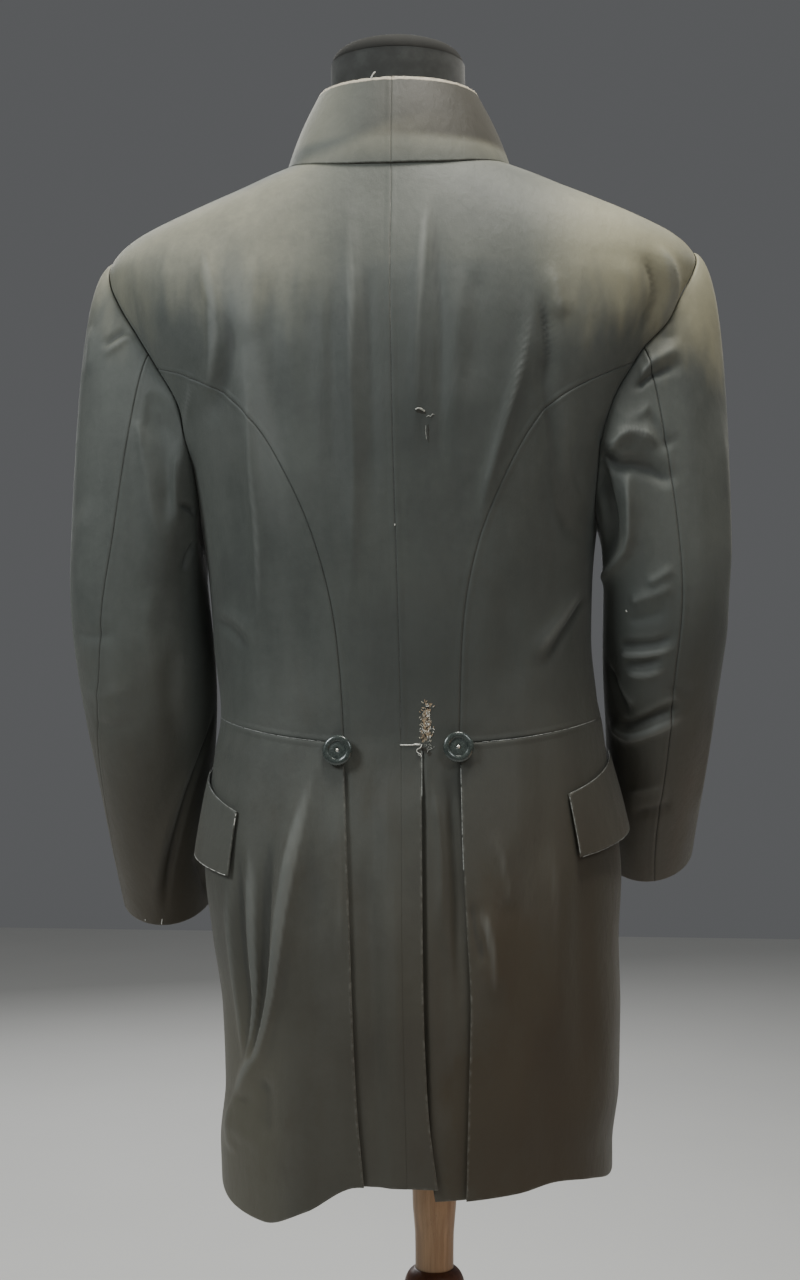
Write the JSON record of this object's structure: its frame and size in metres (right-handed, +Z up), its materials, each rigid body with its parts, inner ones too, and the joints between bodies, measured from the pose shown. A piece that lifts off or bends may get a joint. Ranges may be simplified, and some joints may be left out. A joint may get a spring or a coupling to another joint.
{
  "type": "tailcoat on dress form",
  "caption": "Grey wool tailcoat with standing collar, side pleats, vent and pocket flaps, shown on a limbless dress form with a wooden tripod stand.",
  "frame": {"origin": "centre of the pole's flat lower end, on the floor", "axes": "+Z up along the pole, the coat's front faces -Y, the wearer's left is +X"},
  "size_m": [0.6003, 0.5129, 1.4913],
  "materials": {
    "wool": "fine twilled wool with a short soft nap, worn",
    "horn": "dark green-grey composition or horn, polished",
    "form_cover": "dark cotton jersey cover",
    "cap_cover": "grey cotton cover of the neck cap",
    "beech": "light wood, satin",
    "stained_wood": "red-brown stained wood, satin"
  },
  "bodies": {
    "root": {"back_left": "wool", "back_right": "wool", "side_body_left": "wool", "side_body_right": "wool", "forepart_left": "wool", "forepart_right": "wool", "skirt_left": "wool", "skirt_right": "wool", "top_sleeve_left": "wool", "top_sleeve_right": "wool", "under_sleeve_left": "wool", "under_sleeve_right": "wool", "collar_left": "wool", "collar_right": "wool", "pocket_flap_left": "wool", "pocket_flap_right": "wool", "back_button_left": "horn", "back_button_right": "horn", "front_button_1": "horn", "front_button_2": "horn", "front_button_3": "horn", "front_button_4": "horn", "front_button_5": "horn", "form_torso": "form_cover", "neck_cap": "cap_cover", "pole": "beech", "stand_hub": "stained_wood", "stand_leg_front": "stained_wood", "stand_leg_left": "stained_wood", "stand_leg_right": "stained_wood"}
  },
  "joints": []
}
